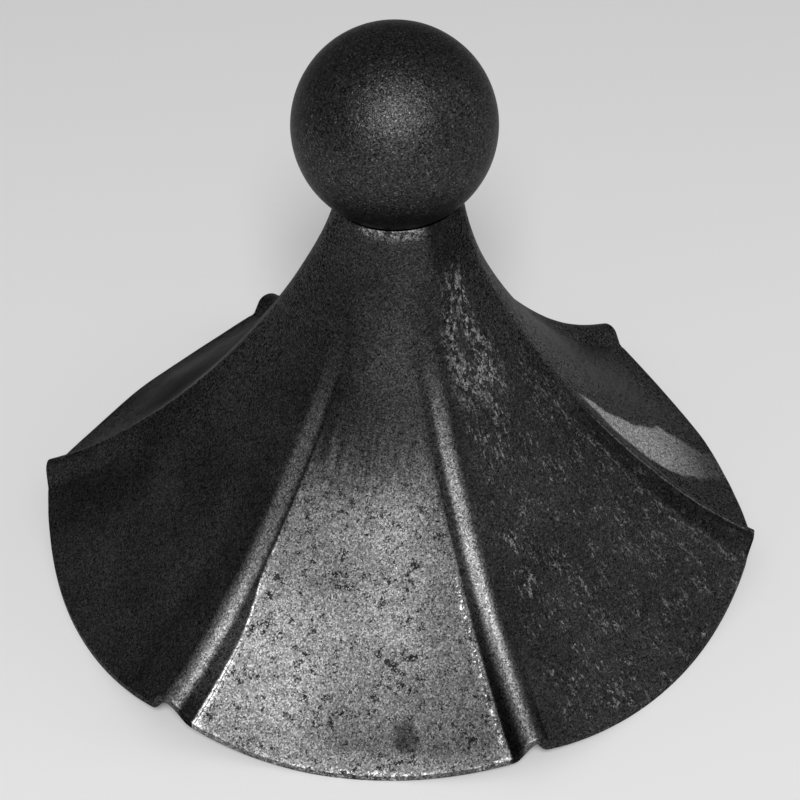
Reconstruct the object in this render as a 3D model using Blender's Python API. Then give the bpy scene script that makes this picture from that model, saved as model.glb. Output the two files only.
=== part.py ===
"""Steel post cap: a pressed sheet, flared like a bell and stiffened by six ribs, under a steel ball.

Metres, +Z up. The origin is the middle of the plane that the rim stands on, under the ball.
An azimuth is measured around +Z from -Y, which is the front, towards +X.
"""
import math

import bmesh
import bpy
from mathutils import Vector

# Ball
BALL_DIAMETER = 0.040
BALL_GAP = 0.0003

# Sheet of the cap
SHEET_THICKNESS = 0.0015

# Outline of the cap, from the neck's mouth down to the middle of a panel's rim
NECK_RADIUS = 0.0125
NECK_HEIGHT = 0.0865
NECK_SLOPE = math.radians(82.0)
NECK_REACH = 0.0282
RIM_RADIUS = 0.0750
RIM_SLOPE = math.radians(33.5)
RIM_REACH = 0.0268

# Panels: the rim is lowest in the middle of each, stands level there, and rises and spreads to the ribs
FOOT_SHARE = 0.14
LAND_WIDTH = 0.0008
RIM_SPREAD = 0.0019
RISE_POWER = 2.4

# Ribs: the azimuth of each in degrees, and how far the rim has risen beside it.
# They were struck by hand, a few degrees off an even spacing.
RIBS = [
    (-96.4, 0.0043),
    (-35.1, 0.0050),
    (20.8, 0.0033),
    (79.3, 0.0039),
    (139.0, 0.0038),
    (203.2, 0.0032),
]
RIB_HEIGHT = 0.0038
RIB_FADE_POWER = 2.2
RIB_HALF_WIDTH = 0.0048
RIB_HALF_WIDTH_TOP = 0.0043

# Facets
ROWS = 18
RIB_FACETS = 8
PANEL_STEPS = (FOOT_SHARE, 0.42, 0.71)
BALL_SEGMENTS = 36
BALL_RINGS = 18

# Where the ball seats, and the height of the sheet's outer edge over the land under the rim
BALL_RADIUS = BALL_DIAMETER / 2
SEAT_RADIUS = BALL_RADIUS + BALL_GAP
BALL_HEIGHT = NECK_HEIGHT + math.sqrt(SEAT_RADIUS ** 2 - NECK_RADIUS ** 2)
RIM_TOP = SHEET_THICKNESS / math.cos(RIM_SLOPE) - LAND_WIDTH * math.tan(RIM_SLOPE)

# How quickly the trim at the rim turns upright: only in the last tenth of the outline
TRIM_POWER = 8


def clear_scene():
    for thing in list(bpy.data.objects):
        bpy.data.objects.remove(thing, do_unlink=True)


def make_material(name, colour, roughness):
    """Steel under its dark mill scale."""
    material = bpy.data.materials.new(name)
    material.use_nodes = True
    shader = material.node_tree.nodes["Principled BSDF"]
    shader.inputs["Base Color"].default_value = (*colour, 1.0)
    shader.inputs["Roughness"].default_value = roughness
    shader.inputs["Metallic"].default_value = 1.0
    return material


def outline(share):
    """Point and outward normal of the cap's outline, in radius and height.

    share runs from 0 at the neck to 1 at the rim. The outline is one cubic curve that leaves
    the neck at NECK_SLOPE and meets the rim at RIM_SLOPE.
    """
    neck = Vector((NECK_RADIUS, NECK_HEIGHT))
    rim = Vector((RIM_RADIUS, RIM_TOP))
    below_neck = neck + NECK_REACH * Vector((math.cos(NECK_SLOPE), -math.sin(NECK_SLOPE)))
    above_rim = rim + RIM_REACH * Vector((-math.cos(RIM_SLOPE), math.sin(RIM_SLOPE)))
    rest = 1.0 - share
    point = (neck * rest ** 3 + below_neck * 3 * rest ** 2 * share
             + above_rim * 3 * rest * share ** 2 + rim * share ** 3)
    run = ((below_neck - neck) * rest ** 2 + (above_rim - below_neck) * 2 * rest * share
           + (rim - above_rim) * share ** 2).normalized()
    return point, Vector((-run.y, run.x))


def rib_half_width(share):
    return RIB_HALF_WIDTH_TOP + (RIB_HALF_WIDTH - RIB_HALF_WIDTH_TOP) * share


def rib_height(share, across):
    """Height of a rib over its base: an arc of a circle, across = -1..1 from foot to foot."""
    height = RIB_HEIGHT * share ** RIB_FADE_POWER
    if height == 0.0:
        return 0.0
    half_width = rib_half_width(share)
    arc_radius = (half_width ** 2 + height ** 2) / (2 * height)
    arc = math.sqrt(arc_radius ** 2 - (across * half_width) ** 2)
    return max(arc - (arc_radius - height), 0.0)


def panel_rise(place):
    """Share of the rise that a panel has, 0 over its level foot and 1 at the ribs; place = -1..1."""
    return (max(abs(place) - FOOT_SHARE, 0.0) / (1.0 - FOOT_SHARE)) ** 2


def columns():
    """Every column around the cap: its rib, whether it is on the rib or the panel after it, and where."""
    across_rib = [2 * step / RIB_FACETS - 1 for step in range(RIB_FACETS + 1)]
    across_panel = [-step for step in reversed(PANEL_STEPS)] + list(PANEL_STEPS)
    listed = []
    for rib in range(len(RIBS)):
        listed += [(rib, "rib", place) for place in across_rib]
        listed += [(rib, "panel", place) for place in across_panel]
    return listed


def outer_point(column, share):
    """A point of the cap's outer face, in one column, at a share of the outline."""
    rib, kind, place = column
    azimuth, rise = math.radians(RIBS[rib][0]), RIBS[rib][1]
    next_azimuth, next_rise = RIBS[(rib + 1) % len(RIBS)]
    gap = (math.radians(next_azimuth) - azimuth) % (2 * math.pi)
    point, normal = outline(share)
    rib_angle = rib_half_width(share) / point.x
    risen = share ** RISE_POWER
    bead = 0.0
    if kind == "rib":
        angle = azimuth + place * rib_angle
        bead = rib_height(share, place)
    else:
        angle = azimuth + rib_angle + (place + 1) / 2 * (gap - 2 * rib_angle)
        risen *= panel_rise(place)
        rise = next_rise if place > 0 else rise
    # A rib stands square on the sheet, but upright at the rim, where the sheet is trimmed upright
    stand = Vector((normal.x * (1 - share ** TRIM_POWER), normal.y)).normalized()
    radius = point.x + RIM_SPREAD * risen + bead * stand.x
    height = point.y + rise * risen + bead * stand.y
    return Vector((radius * math.sin(angle), -radius * math.cos(angle), height))


def normals_and_stretch(grid):
    """Normal at each point of the outer face, and how much longer the wall's step is at a crease."""
    last = len(grid) - 1
    normals, stretch = [], []
    for row, ring in enumerate(grid):
        for place, here in enumerate(ring):
            ahead = (ring[(place + 1) % len(ring)] - here).normalized()
            behind = (here - ring[place - 1]).normalized()
            around = (ahead + behind).normalized()
            down = grid[min(row + 1, last)][place] - grid[max(row - 1, 0)][place]
            normals.append(down.cross(around).normalized())
            stretch.append(1.0 / around.dot(ahead))
    return normals, stretch


def inner_point(outer, normal, stretch, share):
    """The point of the inner face behind an outer one; at the rim it keeps the outer's radius."""
    spoke = Vector((outer.x, outer.y, 0.0)).normalized()
    way = (normal - spoke * normal.dot(spoke) * share ** TRIM_POWER).normalized()
    return outer - way * (SHEET_THICKNESS * stretch / way.dot(normal))


def seat_height(point):
    """Height of the ball's seat at a point of the neck's mouth."""
    return BALL_HEIGHT - math.sqrt(SEAT_RADIUS ** 2 - point.x ** 2 - point.y ** 2)


def make_cap(material):
    """The ribbed sheet: outer face, trimmed rim, the land under it, inner face and ball seat."""
    shares = [row / ROWS for row in range(ROWS + 1)]
    around = columns()
    outer = [[outer_point(column, share) for column in around] for share in shares]
    normals, stretch = normals_and_stretch(outer)
    inner = []
    for row, share in enumerate(shares):
        start = row * len(around)
        inner.append([inner_point(point, normals[start + place], stretch[start + place], share)
                      for place, point in enumerate(outer[row])])

    # The neck's mouth is ground to the ball
    for point in inner[0]:
        point.z = seat_height(point)

    # The rim's lower edge is ground to a narrow land, level under the middle of each panel
    foot = around.index((0, "panel", FOOT_SHARE))
    drop = inner[-1][foot].z
    edge = [Vector((point.x, point.y, point.z - drop)) for point in inner[-1]]
    land = []
    for point in edge:
        spoke = Vector((point.x, point.y, 0.0)).normalized()
        land.append(point - spoke * LAND_WIDTH)

    rings = outer + [edge, land] + list(reversed(inner[:-1]))
    form = bmesh.new()
    vertices = [[form.verts.new(point) for point in ring] for ring in rings]
    for index, ring in enumerate(vertices):
        below = vertices[(index + 1) % len(vertices)]
        for place in range(len(ring)):
            beside = (place + 1) % len(ring)
            form.faces.new((ring[place], below[place], below[beside], ring[beside]))
    bmesh.ops.recalc_face_normals(form, faces=form.faces)
    return add_object("ribbed_cap", form, material)


def make_ball(material):
    form = bmesh.new()
    bmesh.ops.create_uvsphere(form, u_segments=BALL_SEGMENTS, v_segments=BALL_RINGS, radius=BALL_RADIUS)
    ball = add_object("ball", form, material)
    ball.location = (0.0, 0.0, BALL_HEIGHT)
    return ball


def add_object(name, form, material):
    mesh = bpy.data.meshes.new(name)
    form.to_mesh(mesh)
    form.free()
    mesh.materials.append(material)
    mesh.shade_smooth()
    mesh.set_sharp_from_angle(angle=math.radians(35.0))
    thing = bpy.data.objects.new(name, mesh)
    bpy.context.scene.collection.objects.link(thing)
    return thing


def main():
    clear_scene()
    make_cap(make_material("scaled_sheet_steel", (0.035, 0.035, 0.037), 0.50))
    make_ball(make_material("scaled_ball_steel", (0.045, 0.045, 0.047), 0.45))


main()
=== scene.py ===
# %% [markdown]
# # A steel post cap
#
# The real thing closes the top of a gate post or a pier: a disc of mild steel sheet, pressed hot
# into a flared bell, stiffened by six half-round ribs, with a solid steel ball seated on its neck.
# Both pieces are still in the dark scale of the mill and the forge. This lesson loads the solids
# as a fixed frame and then dresses them: a fine sheet over the ribbed solid, a fine ball over the
# ball, two kinds of scaled steel, a floor and a studio light.

# %% Load the frame
import math

import bmesh
import bpy
from mathutils import Matrix, Vector, noise


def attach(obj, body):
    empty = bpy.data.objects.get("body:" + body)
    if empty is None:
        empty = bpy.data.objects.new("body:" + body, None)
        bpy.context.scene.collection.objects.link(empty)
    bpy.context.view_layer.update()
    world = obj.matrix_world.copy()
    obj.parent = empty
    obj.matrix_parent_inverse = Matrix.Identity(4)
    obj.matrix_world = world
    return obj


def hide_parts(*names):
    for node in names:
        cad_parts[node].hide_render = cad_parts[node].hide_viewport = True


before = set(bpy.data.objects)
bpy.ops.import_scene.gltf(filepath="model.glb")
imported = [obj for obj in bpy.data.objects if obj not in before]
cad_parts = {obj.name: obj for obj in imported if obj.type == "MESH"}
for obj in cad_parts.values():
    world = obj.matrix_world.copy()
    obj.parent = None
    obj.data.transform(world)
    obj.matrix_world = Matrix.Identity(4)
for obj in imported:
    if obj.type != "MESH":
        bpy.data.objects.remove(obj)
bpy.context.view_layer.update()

MM = 0.001

# %% [markdown]
# ## The camera
#
# The cap is seen from in front and well above, from so near that the rim bows outwards. A camera
# could be dragged into place by eye. Here it is worked out instead, from how high it stands, how
# far away it is and what it looks at, because then each number can be checked by itself. A long
# lens is a narrow angle, and the distance sets how strongly near things grow.

# %% Place the camera
CAMERA_ELEVATION = math.radians(42.74)
CAMERA_DISTANCE = 486.6 * MM
CAMERA_LENS_MM = 99.0
CAMERA_SENSOR_MM = 36.0
CAMERA_ROLL = math.radians(-0.146)
LOOKED_AT = Vector((0.9, 0.0, 34.3)) * MM


def from_the_middle(azimuth, elevation, distance):
    """A place around the cap; an azimuth is measured from the front, -Y, towards +X."""
    level = math.cos(elevation)
    return distance * Vector((level * math.sin(azimuth), -level * math.cos(azimuth), math.sin(elevation)))


def aimed(place, target, roll=0.0):
    """A matrix that stands at place and looks along its own -Z at target."""
    turn = (target - place).to_track_quat("-Z", "Y").to_matrix().to_4x4()
    return Matrix.Translation(place) @ turn @ Matrix.Rotation(roll, 4, "Z")


camera = bpy.data.objects.new("camera", bpy.data.cameras.new("camera"))
bpy.context.scene.collection.objects.link(camera)
camera.data.sensor_width = CAMERA_SENSOR_MM
camera.data.lens = CAMERA_LENS_MM
camera.matrix_world = aimed(from_the_middle(0.0, CAMERA_ELEVATION, CAMERA_DISTANCE), LOOKED_AT, CAMERA_ROLL)
bpy.context.scene.camera = camera
print("camera at", [round(value / MM) for value in camera.location], "mm")

# %% [markdown]
# ## The outline of the bell
#
# From the neck down, the sheet starts almost upright and flares out to a rim that is a good deal
# flatter. The smith's former gives it one smooth sweep, so one cubic curve says it all: where it
# starts and ends, the slope at each end, and how far each slope reaches. The neck's width and
# height are sizes of the real cap, the same ones that the solid has.

# %% Draw the outline
BALL_RADIUS = 20.0 * MM
BALL_GAP = 0.3 * MM
SHEET = 1.5 * MM
NECK = Vector((12.5, 86.5)) * MM
NECK_SLOPE = math.radians(82.0)
NECK_REACH = 28.2 * MM
RIM_RADIUS = 75.0 * MM
RIM_SLOPE = math.radians(33.5)
RIM_REACH = 26.8 * MM
LAND_WIDTH = 0.8 * MM
RIM_TOP = SHEET / math.cos(RIM_SLOPE) - LAND_WIDTH * math.tan(RIM_SLOPE)


def outline(share):
    """Point and outward normal, as radius and height; share runs from 0 at the neck to 1 at the rim."""
    rim = Vector((RIM_RADIUS, RIM_TOP))
    below_neck = NECK + NECK_REACH * Vector((math.cos(NECK_SLOPE), -math.sin(NECK_SLOPE)))
    above_rim = rim + RIM_REACH * Vector((-math.cos(RIM_SLOPE), math.sin(RIM_SLOPE)))
    rest = 1.0 - share
    point = (NECK * rest ** 3 + below_neck * 3 * rest ** 2 * share
             + above_rim * 3 * rest * share ** 2 + rim * share ** 3)
    run = ((below_neck - NECK) * rest ** 2 + (above_rim - below_neck) * 2 * rest * share
           + (rim - above_rim) * share ** 2).normalized()
    return point, Vector((-run.y, run.x))


print("outline", [tuple(round(value / MM, 1) for value in outline(step / 4)[0]) for step in range(5)])

# %% [markdown]
# ## Six ribs, struck by hand
#
# Each rib was driven up over a round stake and grows from nothing at the neck to its full height at
# the rim. In section it has a round crest, two straight flanks, and a hollow at each foot, because
# sheet can't be folded sharply there. No two ribs are alike: they are a few degrees off an even
# spacing, one flank of a rib is often wider than the other, and beside each the rim has drawn up by
# its own amount. Four of them also jut a little past the trimmed rim.
#
# A circle for the crest, a circle for the hollow and the line that touches both: that is how a
# sheet-metal worker draws it. The flank's angle follows from the height and the width, in closed form.

# %% Give the ribs their section
# For each rib its azimuth in degrees, and its height and jut in mm. Then, on the side of the lower
# azimuths and on the other side: how far the rim has risen, the half-width, the radius of the crest
# and the radius of the hollow, all in mm
RIBS = [
    (-96.4, 4.2, 0.8, (4.3, 4.9, 2.6, 1.2), (4.3, 4.9, 2.6, 1.2)),
    (-36.5, 3.7, 0.0, (4.7, 4.3, 2.6, 0.9), (5.0, 6.6, 6.0, 0.5)),
    (20.5, 3.2, 0.0, (3.3, 4.9, 4.0, 0.5), (4.4, 3.8, 2.2, 1.2)),
    (79.3, 3.8, 0.9, (3.9, 4.9, 2.6, 1.2), (3.9, 4.9, 2.6, 1.4)),
    (138.6, 4.5, 0.2, (3.8, 4.9, 2.6, 1.6), (3.8, 4.9, 2.6, 1.6)),
    (203.6, 5.0, 0.2, (3.2, 5.1, 2.8, 1.6), (3.2, 5.1, 2.8, 1.6)),
]
RIB_FADE_POWER = 2.2
WIDTH_AT_AXIS = 0.9


def rib_half_width(width_mm, radius):
    """Half-width at a radius: the ribs narrow a little towards the axis."""
    return width_mm * MM * (WIDTH_AT_AXIS + (1 - WIDTH_AT_AXIS) * radius / RIM_RADIUS)


def rib_height(height, off_crest, half_width, crest, hollow):
    """Height of a rib over the panel, off_crest metres from its crest; crest and hollow are radii."""
    reach = math.hypot(half_width, crest + hollow - height)
    flank = math.asin((crest + hollow) / reach) - math.atan2(crest + hollow - height, half_width)
    if off_crest < crest * math.sin(flank):
        return height - crest + math.sqrt(crest ** 2 - off_crest ** 2)
    to_foot = max(half_width - off_crest, 0.0)
    if to_foot < hollow * math.sin(flank):
        return hollow - math.sqrt(hollow ** 2 - to_foot ** 2)
    return hollow * (1 - math.cos(flank)) + (to_foot - hollow * math.sin(flank)) * math.tan(flank)


_, height, _, (_, width, crest, hollow), _ = RIBS[2]
print("the third rib's flank at the rim, in mm:",
      [round(rib_height(height, step, width, crest, hollow), 2) for step in range(6)])

# %% [markdown]
# ## Where each column of the mesh goes
#
# The sheet will be spun from the outline in even steps, and each column of points is then moved
# around to where the form needs it. Within a rib or a panel the columns crowd towards the feet,
# where the surface turns within half a millimetre, and spread over the plain middle. In the middle
# of a panel the rim is lowest and stands level, and from there it rises and spreads towards the ribs.

# %% Find a column's azimuth and its rise
RIB_COLUMNS = 36
PANEL_COLUMNS = 40
SECTOR_COLUMNS = RIB_COLUMNS + PANEL_COLUMNS
COLUMNS = SECTOR_COLUMNS * len(RIBS)
FOOT_SHARE = 0.14
RIM_SPREAD = 1.9 * MM
RISE_POWER = 2.4
RIB_CROWDING = 0.5
PANEL_CROWDING = 0.9


def crowded(step, steps, crowding):
    """Runs from -1 to 1; its steps are even at crowding 0 and tiny at both ends at crowding 1."""
    even = 2 * step / steps - 1
    return (1 - crowding) * even + crowding * math.sin(math.pi / 2 * even)


def column_form(column, share):
    """Azimuth of a column, the height of the rib there, its jut, the rise and this column's share of it."""
    rib, step = divmod(column, SECTOR_COLUMNS)
    azimuth, height, jut, before, after = RIBS[rib]
    azimuth = math.radians(azimuth)
    radius = outline(share)[0].x
    if step <= RIB_COLUMNS:
        place = crowded(step, RIB_COLUMNS, RIB_CROWDING)
        _, width, crest, hollow = before if place < 0 else after
        half_width = rib_half_width(width, radius)
        faded = height * MM * share ** RIB_FADE_POWER
        bead = rib_height(faded, abs(place) * half_width, half_width, crest * MM, hollow * MM)
        rise = before[0] + (after[0] - before[0]) * (place + 1) / 2
        return azimuth + place * half_width / radius, bead, jut * bead / height, rise * MM, 1.0
    next_azimuth, _, _, next_before, _ = RIBS[(rib + 1) % len(RIBS)]
    after_width = rib_half_width(after[1], radius)
    next_width = rib_half_width(next_before[1], radius)
    room = (math.radians(next_azimuth) - azimuth) % (2 * math.pi) - (after_width + next_width) / radius
    place = crowded(step - RIB_COLUMNS, PANEL_COLUMNS, PANEL_CROWDING)
    rise = next_before[0] if place > 0 else after[0]
    risen = (max(abs(place) - FOOT_SHARE, 0.0) / (1 - FOOT_SHARE)) ** 2
    return azimuth + after_width / radius + (place + 1) / 2 * room, 0.0, 0.0, rise * MM, risen


first_azimuth = math.degrees(column_form(0, 1.0)[0])
print(COLUMNS, "columns, the first at", round(first_azimuth, 1), "degrees at the rim")

# %% [markdown]
# ## Spin the sheet
#
# A chain of points along the outline is spun once around the axis, which gives a plain bell with
# closed rings. Each point carries the number of its ring and of its column, so that it can be
# found again in every later step.

# %% Spin the outline into a plain bell
ROWS = 96

sheet = bmesh.new()
ring_of = sheet.verts.layers.int.new("ring")
column_of = sheet.verts.layers.int.new("column")
outside_of = sheet.verts.layers.float.new("outside")
chain = []
for row in range(ROWS + 1):
    radius, height = outline(row / ROWS)[0]
    chain.append(sheet.verts.new((0.0, -radius, height)))
    chain[-1][ring_of] = row
links = [sheet.edges.new(pair) for pair in zip(chain, chain[1:])]
bmesh.ops.spin(sheet, geom=chain + links, cent=(0, 0, 0), axis=(0, 0, 1), angle=2 * math.pi,
               steps=COLUMNS, use_merge=True, use_duplicate=False)
for vertex in sheet.verts:
    turned = math.atan2(vertex.co.x, -vertex.co.y) / (2 * math.pi)
    vertex[column_of] = round(turned * COLUMNS) % COLUMNS
bmesh.ops.recalc_face_normals(sheet, faces=sheet.faces[:])
print("bell of", len(sheet.verts), "points and", len(sheet.faces), "faces")

# %% [markdown]
# ## Press the ribs
#
# Now each point moves to its place: around to its column's azimuth, up with the rim's rise, and out
# along the sheet's own normal by the height of the rib. At the rim the rib stands upright instead,
# because the sheet was trimmed upright there.
#
# Hand work is never quite true, so a little noise is added across the sheet: broad waves of a tenth
# of a millimetre, and finer ones of a few hundredths. It fades out at the neck, which fits the ball.
# The neck itself was drawn up slightly to the right, so its mouth leans and meets the ball higher on
# that side. The rim was trimmed with shears and a file, so it wanders by a few hundredths too.

# %% Move every point of the bell
TRIM_POWER = 8
FILING_POWER = 24
WAVE_HEIGHT = 0.11 * MM
WAVE_SPACING = 17.0 * MM
RIPPLE_HEIGHT = 0.035 * MM
RIPPLE_SPACING = 5.0 * MM
RIM_WANDER = 0.12 * MM
RIM_WANDER_SPACING = 4.0 * MM
LEAN = 0.8 * MM
LEAN_DEPTH = 22.0 * MM
SEAT_RADIUS = BALL_RADIUS + BALL_GAP
BALL_HEIGHT = NECK.y + math.sqrt(SEAT_RADIUS ** 2 - NECK.x ** 2)


def rim_filing(azimuth):
    """How far the uneven filing has cut the rim back at an azimuth."""
    around = Vector((math.sin(azimuth), -math.cos(azimuth), 0.0)) * (RIM_RADIUS / RIM_WANDER_SPACING)
    return RIM_WANDER * (0.5 + 0.5 * noise.noise(around))


def pressed(column, share):
    """The outer face's point in a column, before the hand's unevenness."""
    point, normal = outline(share)
    azimuth, bead, jut, rise, risen = column_form(column, share)
    risen *= share ** RISE_POWER
    stand = Vector((normal.x * (1 - share ** TRIM_POWER), normal.y)).normalized()
    radius = point.x + RIM_SPREAD * risen + bead * stand.x + jut * share ** TRIM_POWER
    height = point.y + rise * risen + bead * stand.y
    filed = rim_filing(azimuth) * share ** FILING_POWER
    radius -= filed * math.cos(RIM_SLOPE)
    height += filed * math.sin(RIM_SLOPE)
    near_mouth = max(1 - (NECK.y - point.y) / LEAN_DEPTH, 0.0)
    lean = LEAN * near_mouth ** 2 * (3 - 2 * near_mouth)
    return Vector((radius * math.sin(azimuth) + lean, -radius * math.cos(azimuth), height))


def seat(place):
    """Height of the ball's seat over a place of the neck's mouth."""
    return BALL_HEIGHT - math.sqrt(SEAT_RADIUS ** 2 - place.x ** 2 - place.y ** 2)


for vertex in sheet.verts:
    vertex.co = pressed(vertex[column_of], vertex[ring_of] / ROWS)
sheet.normal_update()
moves = []
for vertex in sheet.verts:
    waves = (WAVE_HEIGHT * noise.noise(vertex.co / WAVE_SPACING)
             + RIPPLE_HEIGHT * noise.noise(vertex.co / RIPPLE_SPACING))
    moves.append(vertex.normal * waves * math.sin(math.pi / 2 * vertex[ring_of] / ROWS))
for vertex, move in zip(sheet.verts, moves):
    vertex.co += move
    if vertex[ring_of] == 0:
        vertex.co.z = seat(vertex.co)
rim_at = {vertex[column_of]: vertex.co.copy() for vertex in sheet.verts if vertex[ring_of] == ROWS}
print("widest point", round(max(vertex.co.x for vertex in sheet.verts) / MM, 2), "mm")

# %% [markdown]
# ## Give the sheet its thickness
#
# Solidify grows the wall inwards along the normals, which keeps it 1.5 mm thick everywhere, over the
# ribs too. The points that it adds are those that weren't there before. Two edges are then cut as on
# the real cap: the mouth of the neck is ground to the ball, and the rim is trimmed upright and its
# lower edge is ground level, so that the cap stands on six narrow lands.
#
# Under a sharp bend the offset points crowd and can even cross, where real sheet stays smooth. So the
# rings in the lower half of the inner face, where the ribs are high, are evened out three times, each
# point towards its two neighbours. The points of the outer face are marked, because only it is worn.

# %% Thicken, seat and trim
EVENINGS = 3

outer_skin = set(sheet.verts)
outer_normal = {(vertex[ring_of], vertex[column_of]): vertex.normal.copy() for vertex in outer_skin}
outer_place = {(vertex[ring_of], vertex[column_of]): vertex.co.copy() for vertex in outer_skin}
bmesh.ops.solidify(sheet, geom=sheet.faces[:], thickness=SHEET)
inner_skin = [vertex for vertex in sheet.verts if vertex not in outer_skin]
for vertex in outer_skin:
    vertex[outside_of] = 1.0

for vertex in inner_skin:
    share = vertex[ring_of] / ROWS
    key = (vertex[ring_of], vertex[column_of])
    normal, place = outer_normal[key], outer_place[key]
    spoke = Vector((place.x, place.y, 0.0)).normalized()
    way = (normal - spoke * normal.dot(spoke) * share ** TRIM_POWER).normalized()
    vertex.co = vertex.co.lerp(place - way * SHEET / way.dot(normal), share ** TRIM_POWER)
    ground = rim_at[vertex[column_of]].z - RIM_TOP
    vertex.co.z = max(vertex.co.z, ground, 0.0)
    if vertex[ring_of] == 0:
        vertex.co.z = seat(vertex.co)

inner_at = {(vertex[ring_of], vertex[column_of]): vertex for vertex in inner_skin
            if vertex[ring_of] > ROWS // 2}
for _ in range(EVENINGS):
    evened = {}
    for (ring, column), vertex in inner_at.items():
        before, after = inner_at[ring, (column - 1) % COLUMNS], inner_at[ring, (column + 1) % COLUMNS]
        evened[vertex] = (before.co + 2 * vertex.co + after.co) / 4
    for vertex, place in evened.items():
        vertex.co = place
lowest = min(vertex.co.z for vertex in sheet.verts)
print("wall added:", len(inner_skin), "points; lowest point", round(lowest / MM, 3), "mm")

# %% [markdown]
# ## Break the sharp edges
#
# A filed edge is never knife sharp, and a broken one catches the light, as the photograph shows all
# along the rim. The bevel takes only the outer edge of the rim and both edges of the neck's mouth. The
# rim's lower edge is ground level and stays as the grinding left it.

# %% Bevel the rim and the neck's mouth
EDGE_BREAK = 0.2 * MM
EDGE_STEPS = 2


def is_broken(edge):
    """Whether an edge runs around the neck's mouth or along the outer edge of the rim."""
    first, second = edge.verts
    if first[ring_of] != second[ring_of] or first[column_of] == second[column_of]:
        return False
    return first[ring_of] == 0 or first[ring_of] == ROWS and first in outer_skin


ends = [edge for edge in sheet.edges if is_broken(edge)]
bmesh.ops.bevel(sheet, geom=ends, offset=EDGE_BREAK, offset_type="OFFSET", segments=EDGE_STEPS,
                profile=0.5, affect="EDGES", clamp_overlap=True, material=-1)
print(len(ends), "edges broken;", sum(len(face.verts) - 2 for face in sheet.faces), "triangles;",
      "furthest from the axis", round(max(vertex.co.xy.length for vertex in sheet.verts) / MM, 2), "mm")

# %% [markdown]
# ## Measure what wears
#
# Wear follows the form: hands and tools rub the rim and the feet of the ribs. So each point keeps
# two measures for the finish to read, both in millimetres: how far it is outside the nearest foot of
# a rib, negative on the rib itself, and how far it is inside the rim.

# %% Store the two measures and finish the piece
RIM_STEPS = 720
SHARP_ANGLE = math.radians(40.0)


def past_foot(place):
    """Distance of a place from the nearest rib's foot, seen from above; negative on the rib."""
    radius = math.hypot(place.x, place.y)
    nearest = radius
    for azimuth, _, _, before, after in RIBS:
        angle = math.radians(azimuth)
        if place.x * math.sin(angle) - place.y * math.cos(angle) > 0:
            across = place.x * math.cos(angle) + place.y * math.sin(angle)
            width = rib_half_width((before if across < 0 else after)[1], radius)
            nearest = min(nearest, abs(across) - width)
    return nearest


def inside_rim(place):
    """Distance of a place inside the nearest point of the rim, seen from above."""
    azimuth = math.atan2(place.x, -place.y)
    return rim_reach[round(azimuth / (2 * math.pi) * RIM_STEPS) % RIM_STEPS] - math.hypot(place.x, place.y)


rim_reach = [0.0] * RIM_STEPS
for step in range(RIM_STEPS):
    angle = 2 * math.pi * step / RIM_STEPS
    nearest = min(rim_at.values(), key=lambda place: -place.x * math.sin(angle) + place.y * math.cos(angle))
    rim_reach[step] = math.hypot(nearest.x, nearest.y)


def finish_piece(name, form):
    """Turn a bmesh into a smoothly shaded object at the origin that rides on the body."""
    mesh = bpy.data.meshes.new(name)
    form.to_mesh(mesh)
    form.free()
    mesh.shade_smooth()
    mesh.set_sharp_from_angle(angle=SHARP_ANGLE)
    piece = bpy.data.objects.new(name, mesh)
    bpy.context.scene.collection.objects.link(piece)
    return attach(piece, "root")


cap_sheet = finish_piece("cap_sheet", sheet)
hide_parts("ribbed_cap")
for name, measure in (("past_foot", past_foot), ("inside_rim", inside_rim)):
    values = cap_sheet.data.attributes.new(name, "FLOAT", "POINT")
    for vertex in cap_sheet.data.vertices:
        values.data[vertex.index].value = measure(vertex.co) / MM
print("sheet", [round(value / MM, 1) for value in cap_sheet.dimensions], "mm")

# %% [markdown]
# ## The ball
#
# The ball is forged, not ground: round to the eye, but with shallow flats a few hundredths of a
# millimetre deep where the die closed on it. An icosphere has no poles to pinch, so the unevenness
# is the same all over. It sits on the ground seat in the neck's mouth, which hides its lowest part.

# %% Make the ball
BALL_DETAIL = 6
FLAT_DEPTH = 0.05 * MM
FLAT_SPACING = 7.0 * MM
DIMPLE_DEPTH = 0.018 * MM
DIMPLE_SPACING = 1.9 * MM

ball_form = bmesh.new()
bmesh.ops.create_icosphere(ball_form, subdivisions=BALL_DETAIL, radius=BALL_RADIUS)
for vertex in ball_form.verts:
    way = vertex.co.normalized()
    sunk = (FLAT_DEPTH * (0.5 + 0.5 * noise.noise(vertex.co / FLAT_SPACING))
            + DIMPLE_DEPTH * (0.5 + 0.5 * noise.noise(vertex.co / DIMPLE_SPACING)))
    vertex.co -= way * sunk
bmesh.ops.translate(ball_form, verts=ball_form.verts, vec=(0.0, 0.0, BALL_HEIGHT))
forged_ball = finish_piece("forged_ball", ball_form)
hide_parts("ball")
print("ball of", len(forged_ball.data.polygons), "faces, its middle", round(BALL_HEIGHT / MM, 2), "mm up")

# %% [markdown]
# ## Tools for the finishes
#
# Colours are written as they look on a screen, in hex, and one function turns them into the linear
# numbers that light is reckoned in. One more function adds a node with its settings and links, so
# that each finish below reads as a list of what is laid on what.

# %% Colour and node helpers
def linear(code):
    """Linear colour of an sRGB hex code such as 4A4A4C."""
    parts = [int(code[start:start + 2], 16) / 255 for start in (0, 2, 4)]
    return (*[part / 12.92 if part <= 0.04045 else ((part + 0.055) / 1.055) ** 2.4 for part in parts], 1.0)


def add_node(tree, kind, settings=None, inputs=None):
    """Add a node, set its own settings, and give each input a number, a colour or a link."""
    node = tree.nodes.new(kind)
    for name, value in (settings or {}).items():
        setattr(node, name, value)
    for name, value in (inputs or {}).items():
        if isinstance(value, bpy.types.NodeSocket):
            tree.links.new(value, node.inputs[name])
        else:
            node.inputs[name].default_value = value
    return node


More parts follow.
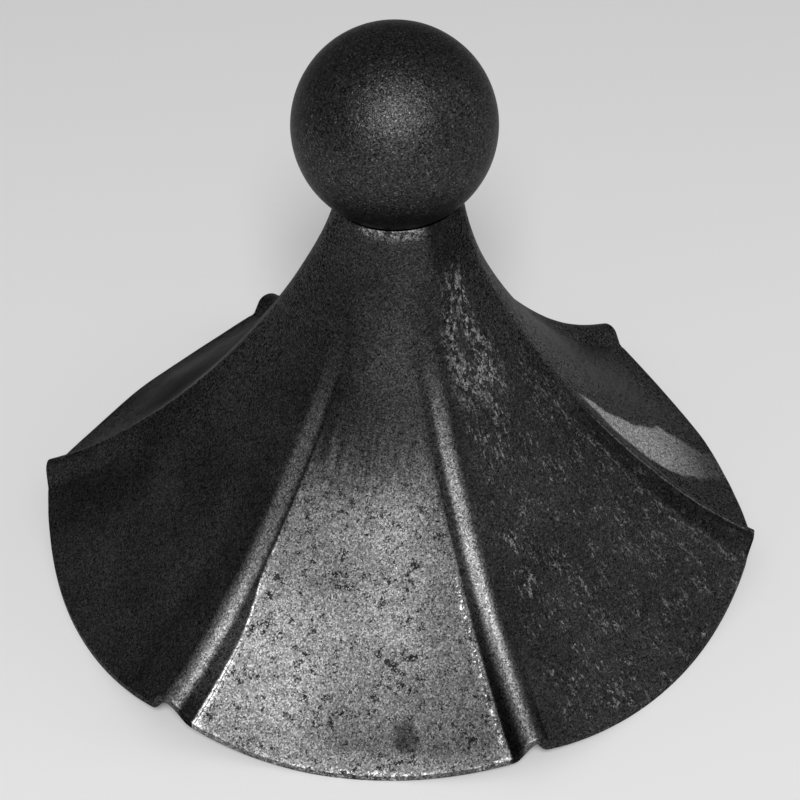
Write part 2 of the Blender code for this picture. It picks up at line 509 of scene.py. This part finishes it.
def per_metre(size_mm):
    """Scale of a pattern whose features are size_mm across, on coordinates in metres."""
    return 1000.0 / size_mm


print("mill scale grey", [round(value, 3) for value in linear("4A4A4C")[:3]])

# %% [markdown]
# ## Mill scale on the pressed sheet
# - Some light and shade is painted into the colour too: shade on the flanks of the ribs, above the
# behind the right-hand rib, and extra paleness and bright grains where the highlight falls.
# pale zone, at the neck and on the back-left panels, light on two side panels, a reflection
#
# The sheet is hot-rolled mild steel. Its skin is magnetite, a blue-black oxide that is itself half a
# metal: dark, and broadly glossy rather than matt. So the shader is metallic with a very dark
# colour and a roughness near 0.45, and each grain of the scale, a quarter of a millimetre across,
# is a little darker or lighter than its neighbours. What gives the cap its look is laid over that:
#
# - The front panel has been rubbed until the steel shows paler through the scale. The paleness
#   begins in ragged streaks halfway down, and dark specks and pits of scale are left in it.
# - The ribs beside that panel are rubbed along their crests.
# - The next panel to the right is only brushed, with short pale flecks that run down the slope, and
#   one patch near the neck is worn through.
# - The feet of the ribs and the edge of the rim are rubbed to bright metal in broken lines.
#
# Patterns could be painted on an image. Here noise is cut at a threshold, because it stays sharp at
# any distance and its grain size can be set in millimetres.

# %% Mix the sheet's finish
SCALE_GRAIN_MM = 0.26
SCALE_RELIEF = 0.08 * MM


def finish_sheet(piece):
    material = bpy.data.materials.new("mill_scale_on_sheet")
    material.use_nodes = True
    tree = material.node_tree
    shader = tree.nodes["Principled BSDF"]
    place = add_node(tree, "ShaderNodeTexCoord").outputs["Object"]
    parts = add_node(tree, "ShaderNodeSeparateXYZ", inputs={0: place}).outputs
    past_foot_mm = add_node(tree, "ShaderNodeAttribute", {"attribute_name": "past_foot"}).outputs["Fac"]
    inside_rim_mm = add_node(tree, "ShaderNodeAttribute", {"attribute_name": "inside_rim"}).outputs["Fac"]
    outside = add_node(tree, "ShaderNodeAttribute", {"attribute_name": "outside"}).outputs["Fac"]

    def reckon(operation, first, second=0.0):
        return add_node(tree, "ShaderNodeMath", {"operation": operation}, {0: first, 1: second}).outputs[0]

    def band(value, start, end, low=0.0, high=1.0):
        """Runs smoothly from low at start to high at end."""
        settings = {"interpolation_type": "SMOOTHSTEP"}
        inputs = {"Value": value, "From Min": start, "From Max": end, "To Min": low, "To Max": high}
        return add_node(tree, "ShaderNodeMapRange", settings, inputs).outputs["Result"]

    def grain(size_mm, detail=2.0, roughness=0.5, vector=place):
        inputs = {"Vector": vector, "Scale": per_metre(size_mm), "Detail": detail, "Roughness": roughness}
        return add_node(tree, "ShaderNodeTexNoise", inputs=inputs).outputs["Fac"]

    def both(first, second):
        return reckon("MULTIPLY", first, second)

    def either(first, second):
        return reckon("MAXIMUM", first, second)

    def over(colour_below, colour_above, amount):
        settings = {"data_type": "RGBA", "blend_type": "MIX"}
        inputs = {0: amount, 6: colour_below, 7: colour_above}
        return add_node(tree, "ShaderNodeMix", settings, inputs).outputs[2]

    def speckle(size_mm, vector=place):
        """A random number for each grain of that size."""
        inputs = {"Vector": vector, "Scale": per_metre(size_mm)}
        return add_node(tree, "ShaderNodeTexVoronoi", inputs=inputs).outputs["Color"]

    def spot(azimuth_degrees, radius_mm, inner_mm, outer_mm):
        """1 within inner_mm of a place on the sheet, fading out at outer_mm, seen from above."""
        angle = math.radians(azimuth_degrees)
        off_x = reckon("SUBTRACT", parts["X"], radius_mm * MM * math.sin(angle))
        off_y = reckon("ADD", parts["Y"], radius_mm * MM * math.cos(angle))
        off = reckon("SQRT", reckon("ADD", both(off_x, off_x), both(off_y, off_y)))
        ragged_by = both(reckon("SUBTRACT", grain(2.0, 4.0, 0.7), 0.5), 0.9 * outer_mm * MM)
        return band(reckon("ADD", off, ragged_by), outer_mm * MM, inner_mm * MM)

    # Where a point is: its azimuth from the front in degrees, its radius in metres, how many
    # millimetres it is inside the two front ribs' crests, which half of the cap it is on, and
    # coordinates stretched down the slope
    back = reckon("MULTIPLY", parts["Y"], -1.0)
    azimuth = both(reckon("ARCTAN2", parts["X"], back), 180 / math.pi)
    radius = reckon("SQRT", reckon("ADD", both(parts["X"], parts["X"]), both(parts["Y"], parts["Y"])))
    front_left, front_right = RIBS[1][0], RIBS[2][0]
    past_left, past_right = reckon("SUBTRACT", azimuth, front_left), reckon("SUBTRACT", front_right, azimuth)
    mm_per_degree = both(radius, math.pi / 180 / MM)
    inside_mm = both(reckon("MINIMUM", past_left, past_right), mm_per_degree)
    left_half, right_half = band(azimuth, 0.0, -5.0), band(azimuth, 0.0, 5.0)
    around = both(azimuth, RIM_RADIUS * math.pi / 180 * 0.75)
    down = both(radius, 0.35)
    streaky = add_node(tree, "ShaderNodeCombineXYZ", inputs={"X": around, "Y": down, "Z": 0.0}).outputs[0]
    drawn = add_node(tree, "ShaderNodeMapping", {"vector_type": "POINT"},
                     {"Vector": place, "Scale": (1.0, 1.0, 0.45)}).outputs[0]

    clouds = grain(16.0, 3.0)
    fine = grain(0.55, 3.0, 0.75)
    grit = speckle(SCALE_GRAIN_MM)
    glint = band(speckle(0.34), 0.90, 0.96)

    # The front panel is rubbed pale from the foot of one rib to the foot of the other; the paleness
    # begins raggedly part of the way down and fades towards the rim and the right
    foot_wander = both(both(reckon("SUBTRACT", grain(1.6, 4.0, 0.75), 0.40), 4.0), band(azimuth, 0.0, 6.0))
    foot_climb = both(band(radius, 0.062, 0.048, 0.0, 1.9), band(azimuth, 0.0, -6.0))
    past_border = reckon("ADD", past_foot_mm, foot_climb)
    foot_at = reckon("SUBTRACT", past_border, foot_wander)
    on_front = both(both(band(foot_at, -0.3, 0.3), band(past_border, -0.3, 0.0)), band(inside_mm, 0.0, 1.0))
    # Painted shade on the flanks of the two front ribs that face the front panel
    flank = both(both(band(past_border, 0.0, -0.5), band(inside_mm, 2.0, 3.6)), band(radius, 0.014, 0.040))
    ragged = reckon("ADD", radius, both(reckon("SUBTRACT", grain(2.6, 6.0, 0.8, streaky), 0.5), 0.034))
    rubbed = both(band(ragged, 0.027, 0.040), on_front)
    # Painted shade on the upper front panel, above the pale zone
    painted_shade_above_pale = both(band(inside_mm, 0.5, 2.5),
                      both(band(radius, 0.048, 0.036), band(radius, 0.018, 0.028)))
    most_rubbed = both(band(radius, 0.028, 0.042), band(radius, 0.076, 0.050, 0.25, 1.0))
    most_rubbed = both(most_rubbed, band(azimuth, 20.0, 0.0, 0.35, 1.0))
    most_rubbed = both(most_rubbed, band(grain(6.0, 4.0, 0.6), 0.25, 0.65, 0.6, 1.0))
    # Painted highlight: the left of the pale zone is painted paler still
    painted_highlight_left = both(band(azimuth, -2.0, -22.0), band(radius, 0.044, 0.056))
    mottle = both(band(grain(2.2, 5.0, 0.75), 0.46, 0.60), band(azimuth, 2.0, 15.0, 0.15, 0.65))
    rim_mottle = both(band(inside_rim_mm, 9.0, 3.0, 0.0, 0.4), band(grain(2.6, 5.0, 0.7), 0.40, 0.62))
    mottle = either(mottle, rim_mottle)
    # Painted highlight: bright grains are laid only at two spots where the highlight falls
    painted_highlight_spots = either(spot(-1.0, 48.0, 0.5, 4.5), both(spot(18.0, 52.0, 1.0, 6.0), 0.9))

    # The crests of the front ribs are rubbed on the side of the front panel
    crest_left = both(both(band(inside_mm, -0.6, 1.0), band(inside_mm, 4.2, 2.6)), left_half)
    crest_right = both(both(band(inside_mm, -1.2, 0.0), band(inside_mm, 3.0, 1.8)), right_half)
    crest = both(either(crest_left, crest_right), band(radius, 0.018, 0.034))
    crest = both(crest, band(grain(1.0, 4.0, 0.75), 0.30, 0.60, 0.6, 1.0))

    # Dark specks of scale left in the pale zone: clusters of dots, and single ones
    crowd = both(band(grain(9.0, 3.0, 0.6), 0.38, 0.62), 0.060)
    blob = band(reckon("ADD", grain(1.9, 4.0, 0.7), crowd), 0.590, 0.635)
    dots = band(speckle(0.30), 0.34, 0.46)
    lone = band(speckle(0.38), 0.915, 0.950)
    dark_marks = either(both(blob, dots), both(lone, 0.8))

    # The right panel's pale flecks in streaks, and its worn patch
    right_left, right_right = RIBS[2][0], RIBS[3][0]
    on_right = both(band(azimuth, right_left + 4.0, right_left + 9.0),
                    band(azimuth, right_right, right_right - 5.0))
    dash = band(grain(0.9, 4.0, 0.7, streaky), 0.49, 0.57)
    fleck = band(speckle(0.40, drawn), 0.40, 0.55)
    beside_rib = band(azimuth, 56.0, 66.0)
    right_foot = both(both(band(past_foot_mm, -1.2, 0.2), band(past_foot_mm, 3.2, 1.2)), beside_rib)
    sparse = either(band(grain(4.5, 5.0, 0.7, drawn), 0.46, 0.58, 0.04, 1.0), right_foot)
    near_rib = band(azimuth, right_left + 40.0, right_left + 8.0, 0.6, 1.0)
    dashes = both(both(dash, fleck), both(sparse, near_rib))
    dashes = both(dashes, both(on_right, band(radius, 0.018, 0.030)))
    # Painted shade on the near flank of the right-hand rib
    painted_shade_right_flank = both(both(band(past_foot_mm, 0.0, -1.5), band(radius, 0.034, 0.044)),
                       both(beside_rib, band(azimuth, right_right, right_right - 0.6)))

    # A thin pale line along the crest of that rib, and painted light: scale painted lighter behind it and on
    # the left panel
    off_crest = reckon("ABSOLUTE", both(reckon("SUBTRACT", azimuth, right_right), mm_per_degree))
    crest_line = both(band(off_crest, 0.55, 0.15), band(radius, 0.036, 0.048))
    crest_line = both(crest_line, band(grain(1.5), 0.3, 0.5))
    painted_light = both(both(band(azimuth, 80.0, 84.0), band(azimuth, 116.0, 96.0)), band(radius, 0.048, 0.034))
    painted_light = either(painted_light, both(both(band(azimuth, -44.0, -50.0), band(azimuth, -84.0, -72.0)),
                                   band(radius, 0.038, 0.056, 0.0, 0.35)))
    worn_patch = both(both(band(radius, 0.0145, 0.0170), band(radius, 0.030, 0.025)),
                      both(band(azimuth, 24.0, 32.0), band(azimuth, 60.0, 48.0)))
    worn_patch = both(worn_patch, band(grain(4.0, 3.0, 0.6, drawn), 0.40, 0.52, 0.15, 1.0))
    worn_through = band(grain(1.2, 4.0, 0.7, drawn), 0.47, 0.54)
    worn_through = both(both(worn_through, band(speckle(0.40, drawn), 0.2, 0.4)), worn_patch)

    # Bright steel at the ribs' feet: a line on the left that widens towards the rim and has a dark
    # hairline in it, broken spots on the right; and broken spots along the rim
    line_end = band(radius, 0.056, 0.068, 0.35, 1.35)
    left_line = both(both(band(past_border, -0.30, -0.10), band(past_border, line_end, 0.1)),
                     both(left_half, band(radius, 0.040, 0.052)))
    fewer_breaks = band(radius, 0.054, 0.066, 0.0, 0.10)
    left_breaks = band(reckon("ADD", grain(1.1, 4.0, 0.8), fewer_breaks), 0.48, 0.58)
    left_line = both(left_line, left_breaks)
    hairline = both(both(band(past_foot_mm, 0.18, 0.32), band(past_foot_mm, 0.55, 0.42)),
                    both(left_half, band(radius, 0.057, 0.062)))
    broken = both(band(grain(1.6, 4.0, 0.7), 0.44, 0.58), band(speckle(0.40), 0.45, 0.65))
    right_line = both(both(band(past_foot_mm, -0.20, 0.05), band(past_foot_mm, 1.9, 0.4)),
                      both(both(broken, right_half), band(radius, 0.040, 0.054)))
    foot_line = both(either(left_line, right_line), on_front)
    on_edge = both(band(inside_rim_mm, 1.3, 0.5), on_front)
    rim_line = both(both(on_edge, band(grain(0.9, 3.0, 0.7), 0.50, 0.60)), band(clouds, 0.3, 0.6, 0.3, 1.0))
    bright_lines = either(foot_line, both(rim_line, 0.8))

    # A round dark stain near the rim of the front panel
    stain = spot(1.3, 69.0, 1.4, 3.4)

    # A painted reflection, a pale wedge on the panel behind the right-hand rib where it reflects the floor,
    # and a rubbed edge at the neck's mouth
    reflection_top = reckon("ADD", 88.0, both(reckon("SUBTRACT", radius, 0.0405), 850.0))
    reflection_top = reckon("MINIMUM", reflection_top, 105.0)
    reflection_low = band(radius, 0.052, 0.082, 85.5, 101.0)
    wandered = reckon("ADD", azimuth, both(reckon("SUBTRACT", grain(8.0, 2.0, 0.5), 0.5), 4.0))
    painted_reflection_wedge = both(band(reckon("SUBTRACT", reflection_top, wandered), -0.8, 1.0),
                 band(reckon("SUBTRACT", wandered, reflection_low), -0.8, 1.0))
    painted_reflection_wedge = both(painted_reflection_wedge, both(band(radius, 0.037, 0.041), band(radius, 0.074, 0.054, 0.12, 1.0)))
    mouth = both(band(azimuth, -42.0, -25.0), band(azimuth, 30.0, 15.0))
    mouth = both(mouth, band(parts["Z"], 0.0835, 0.0862))
    mouth = both(mouth, band(grain(0.9, 4.0, 0.75), 0.42, 0.60))

    # From the plain scale up, each finish, painted shade and painted light is laid over those before it; the
    # inner face keeps plain scale
    colour = over(linear("343434"), linear("404040"), band(clouds, 0.35, 0.65))
    # Painted shade on the back-left panels
    painted_shade_behind = both(band(azimuth, -97.0, -110.0), band(azimuth, -175.0, -150.0))
    colour = over(colour, linear("1E1E1E"), painted_shade_behind)
    pale = over(linear("444444"), linear("747474"), most_rubbed)
    pale = over(pale, linear("909090"), both(painted_highlight_left, 0.6))
    pale = over(pale, linear("808080"), band(inside_rim_mm, 5.0, 1.5, 0.0, 0.7))
    pale = over(pale, linear("2E2E2E"), both(mottle, 0.7))
    # Painted light on the panel behind the right-hand rib and on the left panel
    colour = over(colour, linear("585858"), both(painted_light, 0.8))
    colour = over(colour, linear("7A7A7A"), crest_line)
    colour = over(colour, linear("272727"), both(painted_shade_above_pale, 0.8))
    # Painted shade on the front ribs' flanks
    colour = over(colour, linear("141414"), both(flank, 0.9))
    colour = over(colour, linear("202020"), both(painted_shade_right_flank, 0.8))
    colour = over(colour, linear("666666"), crest)
    colour = over(colour, pale, rubbed)
    # Painted reflection on the panel behind the right-hand rib
    colour = over(colour, linear("B8B8B8"), painted_reflection_wedge)
    # Painted shade on the right side of the neck
    painted_shade_at_neck = both(band(azimuth, 24.0, 34.0), band(azimuth, 120.0, 90.0))
    painted_shade_at_neck = both(painted_shade_at_neck, band(radius, 0.0175, 0.0145))
    colour = over(colour, linear("242424"), both(painted_shade_at_neck, 0.9))
    colour = over(colour, linear("A4A4A4"), mouth)
    colour = over(colour, linear("161616"), both(dark_marks, both(rubbed, 0.92)))
    colour = over(colour, linear("909090"), both(dashes, 0.85))
    colour = over(colour, linear("9A9A9A"), both(worn_through, 0.85))
    colour = over(colour, linear("1F1F1F"), both(stain, 0.75))
    colour = over(colour, linear("C4C4C4"), bright_lines)
    colour = over(colour, linear("1C1C1C"), both(hairline, foot_line))
    colour = over(colour, linear("CFCFCF"), both(both(glint, painted_highlight_spots), either(rubbed, crest)))
    colour = over(linear("303030"), colour, band(outside, 0.0, 0.1))
    sparkle = both(band(grit, 0.0, 0.5, 0.12, 1.0), band(grit, 0.50, 1.0, 0.90, 2.20))
    gritty = add_node(tree, "ShaderNodeMix", {"data_type": "RGBA", "blend_type": "MULTIPLY"},
                      {0: 1.0, 6: colour, 7: sparkle})
    colour = gritty.outputs[2]
    edge_tint = over(linear("707070"), linear("EEEEEE"), grit)
    # Painted shade: the reflection is dulled on the back-left panels too
    edge_tint = over(edge_tint, linear("303030"), both(painted_shade_behind, band(radius, 0.066, 0.050, 0.15, 0.7)))

    rough = band(clouds, 0.35, 0.65, 0.42, 0.47)
    rough = reckon("ADD", rough, both(rubbed, 0.12))
    rough = reckon("SUBTRACT", rough, both(bright_lines, 0.15))
    # The painted reflection is also made less rough
    rough = reckon("SUBTRACT", rough, both(painted_reflection_wedge, 0.15))

    relief = reckon("ADD", both(fine, 0.6), both(dark_marks, -0.5))
    bump_inputs = {"Strength": 0.55, "Distance": SCALE_RELIEF, "Height": relief}
    bump = add_node(tree, "ShaderNodeBump", inputs=bump_inputs).outputs["Normal"]

    shader.inputs["Metallic"].default_value = 1.0
    tree.links.new(edge_tint, shader.inputs["Specular Tint"])
    tree.links.new(colour, shader.inputs["Base Color"])
    tree.links.new(rough, shader.inputs["Roughness"])
    tree.links.new(bump, shader.inputs["Normal"])
    piece.data.materials.clear()
    piece.data.materials.append(material)
    return material


print("sheet finished with", len(finish_sheet(cap_sheet).node_tree.nodes), "nodes")

# %% [markdown]
# ## Forge scale on the ball
#
# The ball's scale is grainier than the sheet's, and its grain breaks the highlight into sparks. Each
# grain, a third of a millimetre across, has its own grey, and one in five is a flat that glints. A
# bump of grains half a millimetre across, with finer ones on them, turns the light between them.

# %% Mix the ball's finish
BALL_GRAIN_MM = 0.30
BALL_FLAT_MM = 0.27
BALL_RELIEF_MM = 0.5
BALL_RELIEF = 0.16 * MM


def finish_ball(piece):
    material = bpy.data.materials.new("forge_scale_on_ball")
    material.use_nodes = True
    tree = material.node_tree
    shader = tree.nodes["Principled BSDF"]
    place = add_node(tree, "ShaderNodeTexCoord").outputs["Object"]

    grit = add_node(tree, "ShaderNodeTexVoronoi", inputs={"Vector": place, "Scale": per_metre(BALL_GRAIN_MM)})
    inputs = {0: grit.outputs["Color"], 6: linear("0C0C0C"), 7: linear("525252")}
    colour = add_node(tree, "ShaderNodeMix", {"data_type": "RGBA"}, inputs)
    inputs = {"Vector": place, "Scale": per_metre(BALL_FLAT_MM)}
    facets = add_node(tree, "ShaderNodeTexVoronoi", inputs=inputs)
    glint = add_node(tree, "ShaderNodeMapRange", inputs={
        "Value": facets.outputs["Color"], "From Min": 0.76, "From Max": 0.96, "To Max": 0.65})
    inputs = {0: glint.outputs["Result"], 6: colour.outputs[2], 7: linear("8C8C8C")}
    colour = add_node(tree, "ShaderNodeMix", {"data_type": "RGBA"}, inputs)
    scale_grain = add_node(tree, "ShaderNodeTexNoise", inputs={
        "Vector": place, "Scale": per_metre(BALL_RELIEF_MM), "Detail": 3.0, "Roughness": 0.75})
    bump = add_node(tree, "ShaderNodeBump", inputs={
        "Strength": 1.0, "Distance": BALL_RELIEF, "Height": scale_grain.outputs["Fac"]})
    shader.inputs["Specular Tint"].default_value = linear("C8C8C8")
    shader.inputs["Metallic"].default_value = 1.0
    shader.inputs["Roughness"].default_value = 0.37
    tree.links.new(colour.outputs[2], shader.inputs["Base Color"])
    tree.links.new(bump.outputs["Normal"], shader.inputs["Normal"])
    piece.data.materials.clear()
    piece.data.materials.append(material)
    return material


print("ball finished with", len(finish_ball(forged_ball).node_tree.nodes), "nodes")

# %% [markdown]
# ## Floor, light and world
#
# The cap stands on a plain pale floor. The photograph's light comes from just over the camera, as
# the highlight near the top of the ball shows, so the main lamp is a soft square there. A wide weak
# one on the right keeps that side from going black, and the world gives the dark panels a little to
# reflect.

# %% Lay the floor and set the lights
FLOOR_HALF = 6.0
FLOOR_DROP = 0.02 * MM
WORLD_STRENGTH = 0.25

floor_form = bmesh.new()
bmesh.ops.create_grid(floor_form, x_segments=1, y_segments=1, size=FLOOR_HALF)
bmesh.ops.translate(floor_form, verts=floor_form.verts, vec=(0.0, 0.0, -FLOOR_DROP))
floor_mesh = bpy.data.meshes.new("floor")
floor_form.to_mesh(floor_mesh)
floor_form.free()
floor = bpy.data.objects.new("floor", floor_mesh)
bpy.context.scene.collection.objects.link(floor)
paper = bpy.data.materials.new("pale_paper")
paper.use_nodes = True
paper_shader = paper.node_tree.nodes["Principled BSDF"]
paper_shader.inputs["Base Color"].default_value = linear("F4F4F4")
paper_shader.inputs["Roughness"].default_value = 0.9
floor_mesh.materials.append(paper)


def add_lamp(name, azimuth, elevation, distance, size, power):
    """A square soft lamp that faces the middle of the cap; degrees, metres and watts."""
    data = bpy.data.lights.new(name, "AREA")
    data.shape = "SQUARE"
    data.size = size
    data.energy = power
    lamp = bpy.data.objects.new(name, data)
    bpy.context.scene.collection.objects.link(lamp)
    middle = Vector((0.0, 0.0, 50.0)) * MM
    place = middle + from_the_middle(math.radians(azimuth), math.radians(elevation), distance)
    lamp.matrix_world = aimed(place, middle)
    return lamp


add_lamp("key", azimuth=0.5, elevation=46.0, distance=1.50, size=0.36, power=17.0)
add_lamp("fill", azimuth=92.0, elevation=24.0, distance=1.40, size=0.90, power=1.8)

world = bpy.data.worlds.new("studio")
bpy.context.scene.world = world
world.use_nodes = True
background = world.node_tree.nodes["Background"]
background.inputs["Color"].default_value = linear("FFFFFF")
background.inputs["Strength"].default_value = WORLD_STRENGTH
bpy.context.scene.view_settings.view_transform = "Standard"
